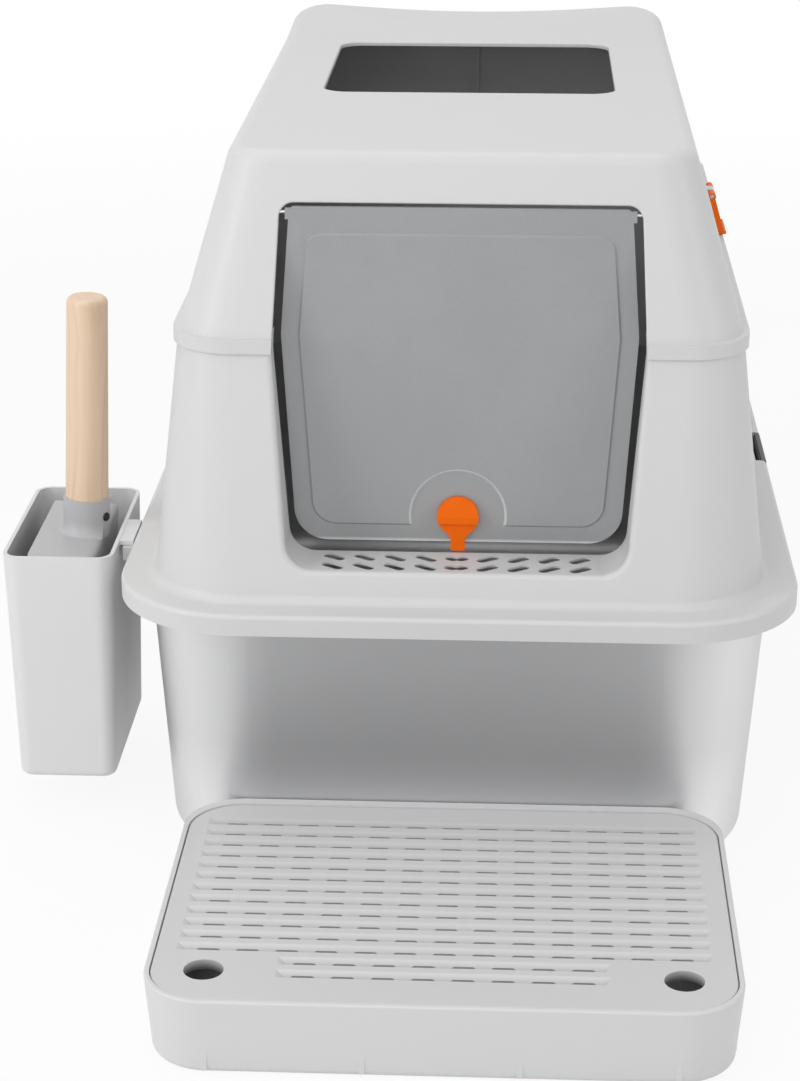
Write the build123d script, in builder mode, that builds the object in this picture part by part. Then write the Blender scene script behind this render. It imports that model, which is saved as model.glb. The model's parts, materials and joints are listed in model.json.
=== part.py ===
from build123d import *
from math import asin, cos, degrees, radians, sin
import os

os.makedirs("parts", exist_ok=True)

# ------------------------------------------------------------------
# A hooded cat litter box: a steel pan, a flanged entry shell on its rim, a hood with a swing
# flap, a scoop in its holder, and a step tray with a lift-out grate in front.
# Millimetres. +Z is up, -Y is the entry side, the origin is on the floor below the pan's centre.
# ------------------------------------------------------------------

seat_gap = 0.3          # between flat faces of pieces that lift apart
pin_clearance = 0.05    # radial running clearance of a pin in its bore
press_clearance = 0.01  # radial clearance of a pin that is held in its bore
swing_gap = 0.5         # between a swinging piece and the wall beside it

# Flange of the entry shell
flange_w = 430
flange_l = 640
flange_r = 80
flange_top = 185.6
flange_skirt = 13.4
flange_edge_r = 3
shell_wall = 3.0

# Walls of the entry shell
wall_inset = 21.5       # flange edge to the foot of the wall
wall_foot_r = 6
wall_top_w = 351
wall_top_l = 542.4
wall_top_r = 36
band_bottom = 338       # where hood and entry shell meet

spigot_gap = 0.5        # neck of the shell to the hood, each side
neck_h = 11
neck_wall = 2.4
neck_root = 8

# Steel pan
pan_wall = 1.2
pan_floor_w = 370
pan_floor_l = 574
pan_floor_r = 55
pan_mouth_w = 396
pan_mouth_l = 592
pan_edge_r = 22         # round between floor and wall
rim_w = 406
rim_l = 608
rim_drop = 5

# Hood
hood_wall = 3.0
band_h = 9
band_w = 355.5
hood_foot_w = 348
roof_w = 283
roof_front_y = -243
roof_back_y = 251
roof_r = 26
roof_z = 456.8
roof_edge_r = 9
roof_rise = 15          # how far the corners at the back curve up
roof_rise_start = 8     # behind the hatch
roof_sag = 9            # how far the back edge dips in the middle, below its corners
roof_sag_r = 1100
hatch_w = 196
hatch_front_y = -52.3
hatch_back_y = 144.4
hatch_r = 17
hatch_edge_r = 1.4
rear_rib_w = 2.5
rear_rib_depth = 7

# Front opening: one outline for hood and entry shell, wider at the band
mouth_top_z = 426.5
mouth_top_w = 218.6
mouth_top_r = 9
mouth_band_w = 228
sill_z = 205.5
mouth_sill_w = 209
mouth_sill_r = 17
shell_mouth_edge_r = 3.5
hood_mouth_edge_r = 1
tunnel_wall = 2.5
tunnel_back_y = -257
tunnel_top_z = 351
sill_lip = 9
sill_grille_t = 1.2     # thinner floor round the drain slots

# Drain slots in the sill
sill_slot_columns = 9
sill_slot_pitch = 19.2
sill_slot_l = 15.5
sill_slot_w = 7
sill_v_arm = 9
sill_v_spread = 3.3
sill_slot_angle = 36
sill_slot_row_pitch = 15.6
sill_slot_row_y = -275.6

# Flap
flap_front_y = -252.8
flap_t = 2.5
flap_pivot_y = -249.8
flap_pivot_z = 421
flap_top_gap = 1.6
flap_ear_z = 417
flap_ear_w = 212
flap_top_w = 208
flap_belt_w = 219
flap_belt_z = 345
flap_foot_w = 203
flap_foot_z = 211.5
flap_foot_r = 21
flap_top_r = 5
flap_rim = 10.5
flap_panel_rise = 1.2
flap_panel_top_gap = 16
flap_knuckle_r = 2.7
flap_knuckle_l = 12
flap_pin_r = 1.25
flap_pin_reach = 9      # length of the pin outside the ear
socket_cover = 2.2      # plastic around the pin in its socket

# Turn button of the flap
button_z = 228.8
button_r = 13
button_t = 4.2
button_ridge_h = 4.4     # flat of the thumb ridge, below the middle
button_ridge_drop = 0.8
button_relief_r = 29
button_tail_w = 9
button_tail_t = 2.2
button_neck_w = 15
button_lift = 0.3       # button to flap
button_tail_gap = 0.6   # tip of the tail above the sill
screw_shank_r = 2
screw_head_r = 4
screw_head_t = 1.8
recess_l = 3.2
recess_w = 0.8
recess_depth = 1.2
washer_r = 6
washer_t = 1

# Side clasps of the hood
clasp_y = 25
clasp_w = 36
clasp_h = 29
clasp_t = 4.4
clasp_wall_gap = 0.7
clasp_knuckle_r = 2.6
clasp_pin_r = 1.5
clasp_foot_gap = 0.6
clasp_lug_w = 12
clasp_pin_inset = 1
clasp_lip_r = 1.2

# Rim clips in the flange
clip_y = 25
clip_l = 64
clip_t = 3.5
clip_notch = 7.8
clip_end_gap = 0.4
clip_pivot_in = 2.6     # from the flange's edge
clip_pivot_drop = 4.2   # below the flange's top
clip_pin_r = 1.2
clip_pin_reach = 5
clip_hook_t = 2.6
clip_rim_gap = 0.6

# Scoop holder
holder_x_out = -297
holder_x_in = -224.5
holder_y_front = -225.4
holder_y_back = -86
holder_top = 185
holder_floor = 26
holder_draft = 4
holder_r = 11
holder_wall = 2.5
holder_foot_r = 5
hook_front_y = -190
hook_back_y = -149
hook_below_rim = 0.5
hook_t = 3
hook_tongue_t = 1.8
hook_tongue_drop = 9
hook_slot_gap = 0.3
lug_reach = 7
lug_front_y = -194
lug_back_y = -145

# Scoop
scoop_lean = 2.4        # degrees, to the box
scoop_x = -249.7
scoop_y = -161.5
scoop_seat_z = 206      # where handle and socket meet
scoop_handle_r = 14.2
scoop_handle_top_r = 13.4
scoop_handle_l = 137
scoop_handle_end_r = 4
scoop_socket_r = 15.6
scoop_socket_h = 24
scoop_flare = 5
scoop_flare_h = 10
scoop_plug_r = 9
scoop_plug_l = 22
scoop_plug_clearance = 0.1
scoop_head_w = 112
scoop_head_lip_w = 102
scoop_head_depth = 43
scoop_head_lip_depth = 24
scoop_floor_gap = 0.8   # scoop above the floor of its holder
scoop_head_r = 5
scoop_head_wall = 2.4
scoop_shift = -9        # head centre from the handle's axis
scoop_slots = 9
scoop_slot_w = 5
scoop_slot_pitch = 9.6
scoop_slot_top = 22
scoop_slot_foot = 14
handle_screw_turn = 62  # degrees from the front, towards the box
handle_screw_r = 1.6
handle_screw_head_r = 2.9
handle_screw_l = 12
handle_screw_head_t = 1.4

# Step tray
tray_w = 337.2
tray_l = 253.8
tray_h = 47.7
tray_r = 37
tray_front_y = -543.4
tray_wall = 3.2
tray_back_wall = 8.2    # stands against the pan
tray_top_r = 1.4
tray_floor = 2.5
tray_foot_r = 5
tray_draft = 4          # each side, from the top to the floor
ledge_w = 5
ledge_root = 0.3        # how far a ledge reaches into the wall
ledge_t = 3
grate_t = 6
grate_gap = 0.7
grate_edge_r = 1
grate_recess = 0.5
finger_r = 11.4
finger_x = 134.7
finger_from_front = 36.3
groove_rows = 14
groove_pitch = 14.35
groove_first = 37       # from the tray's back edge to the first row of slots
groove_long = 306
groove_short = 188
groove_long_rows = 12
groove_slope_w = 8.4    # long far wall of a groove
groove_step_w = 0.5     # steep near wall
groove_root_w = 0.6
groove_depth = 2.6
groove_taper = 7
slot_l = 13.8
slot_w = 4.3
slot_pitch = 22.5
slots_long = 13
slots_short = 8

# Worked out from the sizes above
flange_under = flange_top - shell_wall
flange_foot = flange_top - flange_skirt
pan_rim_top = flange_under - seat_gap
wall_foot_w = flange_w - 2 * wall_inset
wall_foot_l = flange_l - 2 * wall_inset
wall_foot_corner = flange_r - wall_inset
band_top = band_bottom + band_h
band_l = wall_top_l + (band_w - wall_top_w)
hood_foot_l = wall_top_l + (hood_foot_w - wall_top_w)
flange_side = flange_w / 2
hood_slope = (hood_foot_w - roof_w) / 2 / (roof_z - band_top)
shell_top = band_bottom - seat_gap
front_lean = (wall_foot_l - wall_top_l) / 2 / (shell_top - flange_under)
tray_y = tray_front_y + tray_l / 2
tray_back_y = tray_front_y + tray_l
tray_inner_w = tray_w - 2 * tray_wall
tray_inner_l = tray_l - tray_wall - tray_back_wall
tray_inner_y = tray_front_y + tray_wall + tray_inner_l / 2
grate_top = tray_h - grate_recess
ledge_top = grate_top - grate_t - seat_gap
holder_x = (holder_x_out + holder_x_in) / 2
holder_y = (holder_y_front + holder_y_back) / 2
holder_w = holder_x_in - holder_x_out
holder_l = holder_y_back - holder_y_front
hook_top_z = holder_top - hook_below_rim
hook_under_z = hook_top_z - hook_t
lug_top_z = hook_under_z - seat_gap
hook_tongue_z = hook_under_z - hook_tongue_drop
hook_slot_w = hook_tongue_t + 2 * hook_slot_gap
hook_slot_in = 0.2
hook_slot_x = -flange_side - hook_slot_in - hook_slot_w / 2
clip_pivot_x = flange_side - clip_pivot_in
clip_pivot_z = flange_top - clip_pivot_drop
clip_pin_l = clip_l + 2 * (clip_end_gap + clip_pin_reach)
clasp_pivot_z = band_top + clasp_foot_gap + clasp_h - clasp_knuckle_r
clasp_pin_l = clasp_w - 2 * clasp_pin_inset
clasp_cut = 2 * (clasp_knuckle_r + clasp_wall_gap)
flap_top_z = mouth_top_z - flap_top_gap
flap_back_y = flap_front_y + flap_t
roof_front_slope = (roof_front_y + hood_foot_l / 2) / (roof_z - band_top)
roof_back_slope = (hood_foot_l / 2 - roof_back_y) / (roof_z - band_top)
rise_y = hatch_back_y + roof_rise_start
rise_r = (roof_back_y - rise_y) ** 2 / (2 * roof_rise)
rise_arc = degrees(asin(1.3 * (roof_back_y - rise_y) / rise_r))


def hood_side_x(z):
    """Half width of the hood's outer face at height z."""
    return hood_foot_w / 2 - hood_slope * (z - band_top)


def hood_front_y(z):
    """Outer face of the hood's front wall at height z."""
    return -hood_foot_l / 2 + roof_front_slope * (z - band_top)


def shell_front_y(z):
    """Outer face of the entry shell's front wall at height z."""
    return -wall_foot_l / 2 + front_lean * (z - flange_under)


def mouth_half(z):
    """Half width of the front opening at height z."""
    if z > band_bottom:
        rise = (z - band_bottom) / (mouth_top_z - band_bottom)
        return (mouth_band_w + (mouth_top_w - mouth_band_w) * rise) / 2
    rise = (z - sill_z) / (band_bottom - sill_z)
    return (mouth_sill_w + (mouth_band_w - mouth_sill_w) * rise) / 2


clasp_pivot_x = hood_side_x(clasp_pivot_z) + clasp_wall_gap + clasp_knuckle_r

# ---------------------------------------------------------------- steel pan
with BuildPart() as litter_pan:
    with BuildSketch():
        RectangleRounded(pan_floor_w, pan_floor_l, pan_floor_r)
    with BuildSketch(Plane.XY.offset(pan_rim_top)):
        RectangleRounded(pan_mouth_w, pan_mouth_l, pan_floor_r + (pan_mouth_w - pan_floor_w) / 2)
    loft()
    fillet(litter_pan.faces().sort_by(Axis.Z)[0].edges(), pan_edge_r)
    offset(amount=-pan_wall, openings=litter_pan.faces().sort_by(Axis.Z)[-1])
    # Flat rim with its edge turned down
    rim_corner = pan_floor_r + (rim_w - pan_floor_w) / 2
    with BuildSketch(Plane.XY.offset(pan_rim_top - pan_wall)):
        RectangleRounded(rim_w, rim_l, rim_corner)
        RectangleRounded(
            pan_mouth_w - 2 * pan_wall, pan_mouth_l - 2 * pan_wall,
            pan_floor_r + (pan_mouth_w - pan_floor_w) / 2 - pan_wall, mode=Mode.SUBTRACT,
        )
    extrude(amount=pan_wall)
    with BuildSketch(Plane.XY.offset(pan_rim_top - rim_drop)):
        RectangleRounded(rim_w, rim_l, rim_corner)
        RectangleRounded(rim_w - 2 * pan_wall, rim_l - 2 * pan_wall, rim_corner - pan_wall,
                         mode=Mode.SUBTRACT)
    extrude(amount=rim_drop)
litter_pan.part.label = "litter_pan"
export_step(litter_pan.part, "parts/litter_pan.step")

# ---------------------------------------------------------------- entry shell
neck_inset = hood_wall + spigot_gap + (wall_top_w - hood_foot_w) / 2
neck_w = wall_top_w - 2 * neck_inset
neck_l = wall_top_l - 2 * neck_inset
neck_top = shell_top + neck_h
neck_lean = 2 * hood_slope * neck_h

with BuildSketch(Plane.XZ.offset(flange_l / 2)) as mouth_sketch:
    # Outline of the opening on the entry side
    with BuildLine():
        Polyline(
            (-mouth_half(sill_z), sill_z), (mouth_half(sill_z), sill_z),
            (mouth_half(band_bottom), band_bottom), (mouth_half(mouth_top_z), mouth_top_z),
            (-mouth_half(mouth_top_z), mouth_top_z), (-mouth_half(band_bottom), band_bottom),
            close=True,
        )
    make_face()
    fillet(mouth_sketch.vertices().group_by(Axis.Y)[0], mouth_sill_r)
    fillet(mouth_sketch.vertices().group_by(Axis.Y)[-1], mouth_top_r)

with BuildPart() as tunnel:
    # Channel behind the opening: floor and side walls, cut off by the slope of the front wall
    with BuildSketch(Plane.XZ.offset(flange_l / 2)) as channel_sketch:
        with BuildLine():
            Polyline(
                (-mouth_half(sill_z) - tunnel_wall, sill_z - tunnel_wall),
                (mouth_half(sill_z) + tunnel_wall, sill_z - tunnel_wall),
                (mouth_half(band_bottom) + tunnel_wall, band_bottom),
                (mouth_half(band_bottom) + tunnel_wall, tunnel_top_z),
                (-mouth_half(band_bottom) - tunnel_wall, tunnel_top_z),
                (-mouth_half(band_bottom) - tunnel_wall, band_bottom),
                close=True,
            )
        make_face()
        fillet(channel_sketch.vertices().group_by(Axis.Y)[0], mouth_sill_r + tunnel_wall)
    extrude(amount=-(flange_l / 2 + tunnel_back_y))
    # Turned-down lip along the back of the sill
    with Locations((0, tunnel_back_y, sill_z)):
        Box(mouth_sill_w - 2 * mouth_sill_r, tunnel_wall, sill_lip,
            align=(Align.CENTER, Align.MAX, Align.MAX))

with BuildPart() as front_keep:
    # Space behind the sloping outer face of the front wall, where the channel may be
    with BuildSketch(Plane.YZ.offset(-flange_w / 2)):
        with BuildLine():
            Polyline(
                (shell_front_y(flange_top) + 1, flange_top),
                (shell_front_y(shell_top) + 1, shell_top),
                (-hood_foot_l / 2 + hood_wall + spigot_gap + 1, shell_top),
                (-hood_foot_l / 2 + hood_wall + spigot_gap + 5, tunnel_top_z),
                (0, tunnel_top_z),
                (0, flange_top),
                close=True,
            )
        make_face()
    extrude(amount=flange_w)

with BuildPart() as lower_shell:
    # Flange with its skirt, still solid
    with BuildSketch(Plane.XY.offset(flange_foot)):
        RectangleRounded(flange_w, flange_l, flange_r)
    extrude(amount=flange_skirt)
    fillet(lower_shell.faces().sort_by(Axis.Z)[-1].edges(), flange_edge_r)
    # Outer walls
    with BuildSketch(Plane.XY.offset(flange_under)):
        RectangleRounded(wall_foot_w, wall_foot_l, wall_foot_corner)
    with BuildSketch(Plane.XY.offset(shell_top)):
        RectangleRounded(wall_top_w, wall_top_l, wall_top_r)
    loft()
    foot_edges = lower_shell.edges().filter_by_position(
        Axis.Z, flange_top - 0.01, flange_top + 0.01).filter_by(
        lambda e: max(abs(e.center().X) - wall_foot_w / 2, abs(e.center().Y) - wall_foot_l / 2) < 1)
    fillet(foot_edges, wall_foot_r)
    # Hollow of the skirt and of the walls
    with BuildSketch(Plane.XY.offset(flange_foot)):
        RectangleRounded(flange_w - 2 * shell_wall, flange_l - 2 * shell_wall,
                         flange_r - shell_wall)
    extrude(amount=flange_under - flange_foot, mode=Mode.SUBTRACT)
    with BuildSketch(Plane.XY.offset(flange_foot)):
        RectangleRounded(wall_foot_w - 2 * shell_wall, wall_foot_l - 2 * shell_wall,
                         wall_foot_corner - shell_wall)
    with BuildSketch(Plane.XY.offset(shell_top)):
        RectangleRounded(wall_top_w - 2 * shell_wall, wall_top_l - 2 * shell_wall,
                         wall_top_r - shell_wall)
    loft(mode=Mode.SUBTRACT)
    # Neck that stands up inside the hood
    with BuildSketch(Plane.XY.offset(shell_top - neck_root)):
        RectangleRounded(wall_top_w - 1, wall_top_l - 1, wall_top_r - 1)
    with BuildSketch(Plane.XY.offset(shell_top)):
        RectangleRounded(neck_w, neck_l, wall_top_r - neck_inset)
    loft()
    with BuildSketch(Plane.XY.offset(shell_top)):
        RectangleRounded(neck_w, neck_l, wall_top_r - neck_inset)
    with BuildSketch(Plane.XY.offset(neck_top)):
        RectangleRounded(neck_w - neck_lean, neck_l - neck_lean, wall_top_r - neck_inset)
    loft()
    with BuildSketch(Plane.XY.offset(shell_top - neck_root)):
        RectangleRounded(wall_top_w - 2 * shell_wall, wall_top_l - 2 * shell_wall,
                         wall_top_r - shell_wall)
    with BuildSketch(Plane.XY.offset(shell_top)):
        RectangleRounded(neck_w - 2 * neck_wall, neck_l - 2 * neck_wall,
                         wall_top_r - neck_inset - neck_wall)
    loft(mode=Mode.SUBTRACT)
    with BuildSketch(Plane.XY.offset(shell_top)):
        RectangleRounded(neck_w - 2 * neck_wall, neck_l - 2 * neck_wall,
                         wall_top_r - neck_inset - neck_wall)
    with BuildSketch(Plane.XY.offset(neck_top)):
        RectangleRounded(neck_w - neck_lean - 2 * neck_wall, neck_l - neck_lean - 2 * neck_wall,
                         wall_top_r - neck_inset - neck_wall)
    loft(mode=Mode.SUBTRACT)
    # Entry opening and its channel
    add(tunnel.part.intersect(front_keep.part))
    extrude(mouth_sketch.sketch, amount=-(flange_l / 2 + tunnel_back_y + 1), mode=Mode.SUBTRACT)
    mouth_edges = lower_shell.edges().filter_by(
        lambda e: abs(e.center().Y - shell_front_y(e.center().Z)) < 1
        and abs(e.center().X) < mouth_band_w / 2 and sill_z - 1 < e.center().Z < band_bottom - 1)
    fillet(mouth_edges, shell_mouth_edge_r)
    # Drain slots: they slant towards the middle, where a pair meets as a V
    with BuildSketch(Plane.XY.offset(sill_z)):
        for row in (0, 1):
            row_y = sill_slot_row_y - (row - 0.5) * sill_slot_row_pitch
            for column in range(sill_slot_columns):
                place = column - (sill_slot_columns - 1) / 2
                turn = sill_slot_angle if place > 0 else -sill_slot_angle
                if place == 0:
                    for side in (-1, 1):
                        with Locations((side * sill_v_spread, row_y)):
                            SlotOverall(sill_v_arm, sill_slot_w, rotation=side * sill_slot_angle)
                else:
                    with Locations((place * sill_slot_pitch, row_y)):
                        SlotOverall(sill_slot_l, sill_slot_w, rotation=turn)
    extrude(amount=2 * tunnel_wall, both=True, mode=Mode.SUBTRACT)
    with Locations((0, sill_slot_row_y, sill_z - sill_grille_t)):
        Box(sill_slot_columns * sill_slot_pitch, 2 * sill_slot_row_pitch,
            tunnel_wall, align=(Align.CENTER, Align.CENTER, Align.MAX), mode=Mode.SUBTRACT)
    # Lug with a slot on the left edge, where the scoop holder hangs
    with Locations((-flange_side - lug_reach, (lug_front_y + lug_back_y) / 2, flange_foot)):
        Box(lug_reach + shell_wall / 2, lug_back_y - lug_front_y, lug_top_z - flange_foot,
            align=(Align.MIN, Align.CENTER, Align.MIN))
    with Locations((hook_slot_x, (hook_front_y + hook_back_y) / 2, hook_tongue_z - 2 * seat_gap)):
        Box(hook_slot_w, hook_back_y - hook_front_y + 2 * hook_slot_gap, lug_top_z,
            align=(Align.CENTER, Align.CENTER, Align.MIN), mode=Mode.SUBTRACT)
    # Notch, pin blocks and pin bore of each rim clip
    for side in (-1, 1):
        notch_x = side * (flange_side - clip_notch)
        outward = Align.MIN if side > 0 else Align.MAX
        with Locations((notch_x, clip_y, flange_foot)):
            Box(clip_notch - 1, clip_l + 2 * (clip_end_gap + clip_pin_reach + 1.5),
                flange_skirt - 1, align=(outward, Align.CENTER, Align.MIN))
            Box(clip_notch + 1, clip_l + 2 * clip_end_gap, flange_skirt + 1,
                align=(outward, Align.CENTER, Align.MIN), mode=Mode.SUBTRACT)
        with Locations((side * clip_pivot_x, clip_y, clip_pivot_z)):
            Cylinder(clip_pin_r + press_clearance, clip_pin_l, rotation=(90, 0, 0),
                     mode=Mode.SUBTRACT)
lower_shell.part.label = "lower_shell"
export_step(lower_shell.part, "parts/lower_shell.step")

# ---------------------------------------------------------------- hood
crest_z = roof_z + roof_rise


def crest(inset):
    """Outline that the leaning walls reach at the height of the back corners, set in by a wall."""
    front_y = hood_front_y(crest_z) + inset
    back_y = hood_foot_l / 2 - roof_back_slope * (crest_z - band_top) - inset
    corner = roof_r - (wall_top_r - roof_r) * roof_rise / (roof_z - band_top) - inset
    with BuildSketch(Plane.XY.offset(crest_z)) as outline:
        with Locations((0, (front_y + back_y) / 2)):
            RectangleRounded(2 * (hood_side_x(crest_z) - inset), back_y - front_y, corner)
    return outline.sketch


def above_roof(depth):
    """Side view of the space above the roof, down to a depth below its outer face."""
    with BuildSketch(Plane.YZ) as sky:
        with BuildLine():
            level = Line((-flange_l / 2, roof_z - depth), (rise_y, roof_z - depth))
            ramp = JernArc(level @ 1, level % 1, rise_r + depth, rise_arc)
            Polyline(ramp @ 1, (flange_l / 2, crest_z + 2 * roof_rise),
                     (-flange_l / 2, crest_z + 2 * roof_rise), level @ 0)
        make_face()
    return sky.sketch


sag_plane = Plane((0, rise_y, roof_z), x_dir=(1, 0, 0),
                  z_dir=(0, roof_back_y - rise_y, roof_rise - roof_sag))

with BuildPart() as hood_hollow:
    # Inside of the hood, its ceiling following the roof
    with BuildSketch(Plane.XY.offset(band_bottom)):
        RectangleRounded(hood_foot_w - 2 * hood_wall, hood_foot_l - 2 * hood_wall,
                         wall_top_r - hood_wall)
    extrude(amount=band_h)
    with BuildSketch(Plane.XY.offset(band_top)):
        RectangleRounded(hood_foot_w - 2 * hood_wall, hood_foot_l - 2 * hood_wall,
                         wall_top_r - hood_wall)
    add(crest(hood_wall))
    loft()
    extrude(above_roof(hood_wall), amount=flange_w, both=True, mode=Mode.SUBTRACT)
    with BuildSketch(sag_plane):
        with Locations((0, -roof_sag_r)):
            Circle(roof_sag_r + hood_wall)
    extrude(amount=flange_l, mode=Mode.SUBTRACT)

with BuildPart() as upper_hood:
    # Outer walls and roof
    with BuildSketch(Plane.XY.offset(band_top)):
        RectangleRounded(hood_foot_w, hood_foot_l, wall_top_r)
    add(crest(0))
    loft()
    extrude(above_roof(0), amount=flange_w, both=True, mode=Mode.SUBTRACT)
    roof_faces = upper_hood.faces().filter_by(lambda f: f.normal_at().Z > 0.9)
    roof_edges = [e for f in roof_faces for e in f.edges()
                  if abs(e.center().Y - rise_y) > 0.01 or abs(e.center().X) > 1]
    fillet(roof_edges, roof_edge_r)
    with BuildSketch(sag_plane):
        with Locations((0, -roof_sag_r)):
            Circle(roof_sag_r)
    extrude(amount=flange_l, mode=Mode.SUBTRACT)
    # Band round the foot
    with BuildSketch(Plane.XY.offset(band_bottom)):
        RectangleRounded(band_w, band_l, wall_top_r + (band_w - wall_top_w) / 2)
    extrude(amount=band_h)
    add(hood_hollow.part, mode=Mode.SUBTRACT)
    # Hatch in the roof
    with BuildSketch(Plane.XY.offset(roof_z)):
        with Locations((0, (hatch_front_y + hatch_back_y) / 2)):
            RectangleRounded(hatch_w, hatch_back_y - hatch_front_y, hatch_r)
    extrude(amount=2 * hood_wall, both=True, mode=Mode.SUBTRACT)
    hatch_edges = upper_hood.edges().filter_by_position(
        Axis.Z, roof_z - 0.01, roof_z + 0.01).filter_by(
        lambda e: abs(e.center().X) < hatch_w / 2 + 1
        and hatch_front_y - 1 < e.center().Y < hatch_back_y + 1)
    fillet(hatch_edges, hatch_edge_r)
    # Entry opening
    extrude(mouth_sketch.sketch, amount=-(flange_l / 2 + roof_front_y + 2 * hood_wall),
            mode=Mode.SUBTRACT)
    mouth_edges = upper_hood.edges().filter_by(
        lambda e: abs(e.center().Y - hood_front_y(e.center().Z)) < 0.3
        and abs(e.center().X) < mouth_band_w / 2 and band_top < e.center().Z < mouth_top_z + 1)
    fillet(mouth_edges, hood_mouth_edge_r)
    # Stiffening rib inside the rear wall
    with BuildSketch(Plane.YZ):
        with BuildLine():
            rib_foot_z = band_top + neck_h
            rib_foot_y = hood_foot_l / 2 - roof_back_slope * (rib_foot_z - band_top)
            rib_head_z = crest_z - roof_sag - hood_wall / 2
            rib_head_y = hood_foot_l / 2 - roof_back_slope * (rib_head_z - band_top)
            Polyline(
                (rib_foot_y - hood_wall / 2, rib_foot_z), (rib_head_y - hood_wall / 2, rib_head_z),
                (rib_head_y - hood_wall - rear_rib_depth, rib_head_z),
                (rib_foot_y - hood_wall - rear_rib_depth, rib_foot_z + rear_rib_depth),
                close=True,
            )
        make_face()
    extrude(amount=rear_rib_w / 2, both=True)
    # Sockets for the pins of the flap, behind the front wall
    socket_h = 2 * (flap_pin_r + socket_cover)
    socket_x = mouth_half(flap_pivot_z) + swing_gap
    socket_l = flap_ear_w / 2 + flap_pin_reach + socket_cover - socket_x
    for side in (-1, 1):
        with Locations((side * (socket_x + socket_l / 2), flap_pivot_y, flap_pivot_z)):
            Box(socket_l, flap_pin_r + socket_cover, socket_h,
                align=(Align.CENTER, Align.MIN, Align.CENTER))
        with Locations((side * (flap_ear_w / 2 + (flap_pin_reach + swing_gap) / 2),
                        flap_pivot_y, flap_pivot_z)):
            Cylinder(flap_pin_r + pin_clearance, flap_pin_reach + swing_gap,
                     rotation=(0, 90, 0), mode=Mode.SUBTRACT)
    # A lug in the middle of each side clasp, with the bore of its pin
    for side in (-1, 1):
        lug_in_x = hood_side_x(clasp_pivot_z) - hood_wall / 2
        with Locations((side * lug_in_x, clasp_y, clasp_pivot_z)):
            Box(clasp_pivot_x - lug_in_x, clasp_lug_w, 2 * clasp_knuckle_r,
                align=(Align.MIN if side > 0 else Align.MAX, Align.CENTER, Align.CENTER))
        with Locations((side * clasp_pivot_x, clasp_y, clasp_pivot_z)):
            Cylinder(clasp_knuckle_r, clasp_lug_w, rotation=(90, 0, 0))
            Cylinder(clasp_pin_r + press_clearance, clasp_pin_l, rotation=(90, 0, 0),
                     mode=Mode.SUBTRACT)
upper_hood.part.label = "upper_hood"
export_step(upper_hood.part, "parts/upper_hood.step")

# ---------------------------------------------------------------- flap
with BuildPart() as flap_panel:
    with BuildSketch(Plane.XZ.offset(-flap_back_y)) as flap_sketch:
        with BuildLine():
            Polyline(
                (-flap_foot_w / 2, flap_foot_z), (flap_foot_w / 2, flap_foot_z),
                (flap_belt_w / 2, flap_belt_z), (flap_top_w / 2, flap_ear_z),
                (flap_ear_w / 2, flap_ear_z), (flap_ear_w / 2, flap_pivot_z + swing_gap),
                (flap_ear_w / 2 - flap_top_r, flap_top_z),
                (-flap_ear_w / 2 + flap_top_r, flap_top_z),
                (-flap_ear_w / 2, flap_pivot_z + swing_gap), (-flap_ear_w / 2, flap_ear_z),
                (-flap_top_w / 2, flap_ear_z), (-flap_belt_w / 2, flap_belt_z),
                close=True,
            )
        make_face()
        fillet(flap_sketch.vertices().group_by(Axis.Y)[0], flap_foot_r)
    extrude(amount=flap_t)
    # Raised panel inside a flat rim, cut back in an arch round the turn button
    with BuildSketch(Plane.XZ.offset(-flap_front_y)) as panel_sketch:
        with BuildLine():
            Polyline(
                (-flap_foot_w / 2 + flap_rim, flap_foot_z + flap_rim),
                (flap_foot_w / 2 - flap_rim, flap_foot_z + flap_rim),
                (flap_belt_w / 2 - flap_rim, flap_belt_z),
                (flap_top_w / 2 - flap_rim, flap_top_z - flap_panel_top_gap),
                (-flap_top_w / 2 + flap_rim, flap_top_z - flap_panel_top_gap),
                (-flap_belt_w / 2 + flap_rim, flap_belt_z),
                close=True,
            )
        make_face()
        fillet(panel_sketch.vertices().group_by(Axis.Y)[0], flap_foot_r - flap_rim / 2)
        fillet(panel_sketch.vertices().group_by(Axis.Y)[-1], flap_rim)
        with Locations((0, button_z)):
            Circle(button_relief_r, mode=Mode.SUBTRACT)
    extrude(amount=flap_panel_rise, taper=45)
    # Knuckles that hold the pins
    with Locations(
        ((flap_ear_w - flap_knuckle_l) / 2, flap_pivot_y, flap_pivot_z),
        (-(flap_ear_w - flap_knuckle_l) / 2, flap_pivot_y, flap_pivot_z),
    ):
        Cylinder(flap_knuckle_r, flap_knuckle_l, rotation=(0, 90, 0))
        Cylinder(flap_pin_r + press_clearance, flap_knuckle_l, rotation=(0, 90, 0),
                 mode=Mode.SUBTRACT)
    # Hole for the screw of the turn button
    with Locations((0, flap_back_y, button_z)):
        Cylinder(screw_shank_r + press_clearance, 4 * flap_t, rotation=(90, 0, 0),
                 mode=Mode.SUBTRACT)
flap_panel.part.label = "flap_panel"
export_step(flap_panel.part, "parts/flap_panel.step")

for side, side_name in ((-1, "left"), (1, "right")):
    with BuildPart() as flap_pin:
        flap_pin_l = flap_knuckle_l + flap_pin_reach
        with Locations((side * (flap_ear_w / 2 + flap_pin_reach - flap_pin_l / 2),
                        flap_pivot_y, flap_pivot_z)):
            Cylinder(flap_pin_r, flap_pin_l, rotation=(0, 90, 0))
    flap_pin.part.label = "flap_pin_" + side_name
    export_step(flap_pin.part, "parts/flap_pin_" + side_name + ".step")

# ---------------------------------------------------------------- turn button of the flap
button_back_y = flap_front_y - button_lift
button_tail_z = sill_z + button_tail_gap
button_base_t = button_t / 2
ridge_foot_z = button_z - button_ridge_h - button_ridge_drop

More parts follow.
